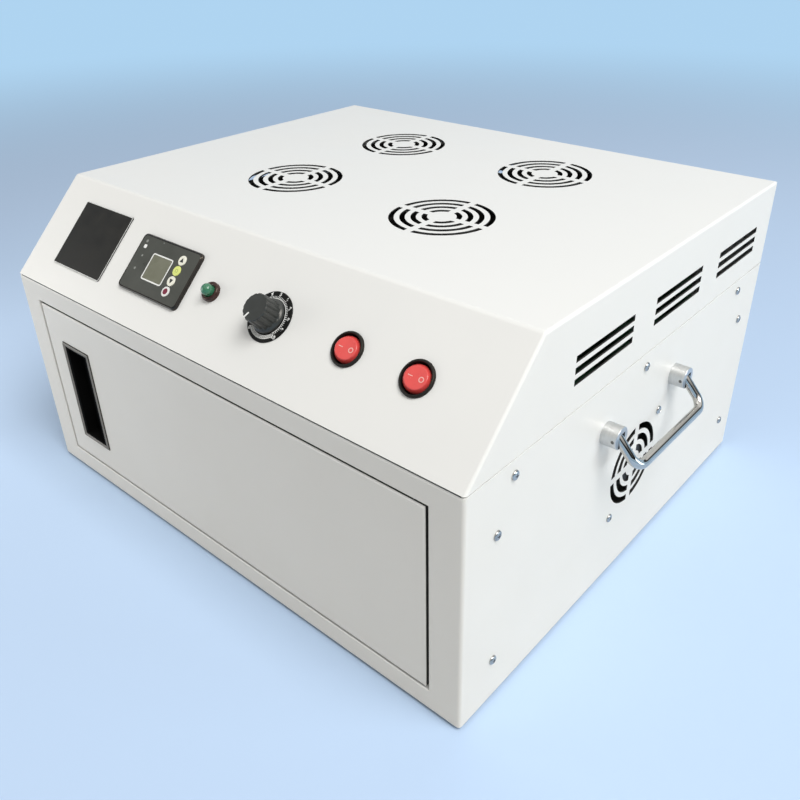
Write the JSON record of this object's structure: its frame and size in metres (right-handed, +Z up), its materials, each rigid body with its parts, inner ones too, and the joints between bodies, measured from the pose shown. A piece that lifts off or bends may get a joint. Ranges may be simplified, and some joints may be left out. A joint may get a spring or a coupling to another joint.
{
  "type": "uv curing box",
  "caption": "Bench-top ultraviolet curing box: white steel cabinet, sloping control panel, right-hinged front door, fan grilles and side handles.",
  "frame": {"origin": "on the table, under the middle of the cabinet", "axes": "+X to the right seen from the front, +Y to the back, +Z up"},
  "size_m": [0.5166, 0.4042, 0.248],
  "materials": {
    "white_paint": "satin",
    "zinc_steel": "satin",
    "bright_aluminium": "bright",
    "satin_metal": "satin",
    "chrome": "mirror",
    "clear_glass": "clear",
    "display_glass": "dark",
    "green_board": "matte",
    "black_plastic": "matte",
    "dark_plastic": "gloss",
    "black_plate": "satin",
    "red_plastic": "gloss",
    "green_plastic": "gloss",
    "cream_plastic": "matte",
    "lime_plastic": "matte",
    "white_plastic": "matte",
    "magnet": "satin",
    "foam_rubber": "matte",
    "black_rubber": "matte"
  },
  "bodies": {
    "cabinet": {"hood": "white_paint", "lower_shell": "white_paint", "base_plate": "zinc_steel", "rear_panel": "white_paint", "front_bulkhead": "zinc_steel", "rear_bulkhead": "zinc_steel", "chamber_liner": "bright_aluminium", "equipment_deck": "zinc_steel", "lamp_window": "clear_glass", "window_frame": "bright_aluminium", "lamp_boards": "green_board", "heat_sinks": "bright_aluminium", "top_fan_frames": "black_plastic", "side_fan_frames": "black_plastic", "power_supply": "bright_aluminium", "driver_boards": "green_board", "pivot_pins": "zinc_steel", "catch_magnets": "magnet", "interlock_sensor": "black_plastic", "handle_posts": "satin_metal", "handle_pins": "zinc_steel", "feet": "black_rubber", "blank_plate": "black_plate", "timer_bezel": "dark_plastic", "timer_window": "display_glass", "timer_case": "black_plastic", "start_button_body": "black_plastic", "dial_plate": "black_plate", "potentiometer": "zinc_steel", "switch_body_1": "black_plastic", "switch_body_2": "black_plastic", "power_inlet": "black_plastic"},
    "door": {"door_skin": "white_paint", "door_back": "white_paint", "pivot_bushes": "black_plastic", "door_pull": "black_plastic", "door_seal": "foam_rubber", "interlock_magnet": "magnet"},
    "bail_right": {"handle_bail_right": "chrome"},
    "bail_left": {"handle_bail_left": "chrome"},
    "knob": {"dial_knob": "dark_plastic", "potentiometer_shaft": "zinc_steel"},
    "start_button": {"start_button_cap": "green_plastic"},
    "rocker_1": {"switch_rocker_1": "red_plastic"},
    "rocker_2": {"switch_rocker_2": "red_plastic"},
    "key_up": {"timer_key_up": "cream_plastic"},
    "key_mode": {"timer_key_mode": "lime_plastic"},
    "key_down": {"timer_key_down": "cream_plastic"},
    "key_set": {"timer_key_set": "white_plastic"},
    "top_fan_1": {"top_fan_rotor_1": "black_plastic"},
    "top_fan_2": {"top_fan_rotor_2": "black_plastic"},
    "top_fan_3": {"top_fan_rotor_3": "black_plastic"},
    "top_fan_4": {"top_fan_rotor_4": "black_plastic"},
    "side_fan_right": {"side_fan_rotor_right": "black_plastic"},
    "side_fan_left": {"side_fan_rotor_left": "black_plastic"}
  },
  "joints": [
    {"name": "door_hinge", "type": "hinge", "parent": "cabinet", "child": "door", "pos_m": [0.1972, -0.195, 0.09085], "axis": [0, 0, 1], "range_deg": [0, 110]},
    {"name": "bail_right_hinge", "type": "hinge", "parent": "cabinet", "child": "bail_right", "pos_m": [0.239, 0, 0.1423], "axis": [0, -1, 0], "range_deg": [0, 48]},
    {"name": "bail_left_hinge", "type": "hinge", "parent": "cabinet", "child": "bail_left", "pos_m": [-0.239, 0, 0.1423], "axis": [0, 1, 0], "range_deg": [0, 48]},
    {"name": "knob_turn", "type": "hinge", "parent": "cabinet", "child": "knob", "pos_m": [0.049, -0.16708, 0.21392], "axis": [0, 0.7071, -0.7071], "range_deg": [0, 300]},
    {"name": "start_button_press", "type": "slide", "parent": "cabinet", "child": "start_button", "axis": [0, 0.7071, -0.7071], "range_m": [0, 0.0018], "stiffness_N_per_m": 400},
    {"name": "rocker_1_rock", "type": "hinge", "parent": "cabinet", "child": "rocker_1", "pos_m": [0.1178, -0.16708, 0.21392], "axis": [0, -0.7071, -0.7071], "range_deg": [0, 18]},
    {"name": "rocker_2_rock", "type": "hinge", "parent": "cabinet", "child": "rocker_2", "pos_m": [0.1713, -0.16708, 0.21392], "axis": [0, -0.7071, -0.7071], "range_deg": [0, 18]},
    {"name": "key_up_press", "type": "slide", "parent": "cabinet", "child": "key_up", "axis": [0, 0.7071, -0.7071], "range_m": [0, 0.0005], "stiffness_N_per_m": 300},
    {"name": "key_mode_press", "type": "slide", "parent": "cabinet", "child": "key_mode", "axis": [0, 0.7071, -0.7071], "range_m": [0, 0.0005], "stiffness_N_per_m": 300},
    {"name": "key_down_press", "type": "slide", "parent": "cabinet", "child": "key_down", "axis": [0, 0.7071, -0.7071], "range_m": [0, 0.0005], "stiffness_N_per_m": 300},
    {"name": "key_set_press", "type": "slide", "parent": "cabinet", "child": "key_set", "axis": [0, 0.7071, -0.7071], "range_m": [0, 0.0005], "stiffness_N_per_m": 300},
    {"name": "top_fan_1_spin", "type": "hinge", "parent": "cabinet", "child": "top_fan_1", "pos_m": [-0.076, -0.0272, 0.225], "axis": [0, 0, 1], "continuous": true},
    {"name": "top_fan_2_spin", "type": "hinge", "parent": "cabinet", "child": "top_fan_2", "pos_m": [0.076, -0.0272, 0.225], "axis": [0, 0, 1], "continuous": true},
    {"name": "top_fan_3_spin", "type": "hinge", "parent": "cabinet", "child": "top_fan_3", "pos_m": [-0.076, 0.1062, 0.225], "axis": [0, 0, 1], "continuous": true},
    {"name": "top_fan_4_spin", "type": "hinge", "parent": "cabinet", "child": "top_fan_4", "pos_m": [0.076, 0.1062, 0.225], "axis": [0, 0, 1], "continuous": true},
    {"name": "side_fan_right_spin", "type": "hinge", "parent": "cabinet", "child": "side_fan_right", "pos_m": [0.216, 0, 0.0904], "axis": [1, 0, 0], "continuous": true},
    {"name": "side_fan_left_spin", "type": "hinge", "parent": "cabinet", "child": "side_fan_left", "pos_m": [-0.216, 0, 0.0904], "axis": [-1, 0, 0], "continuous": true}
  ]
}
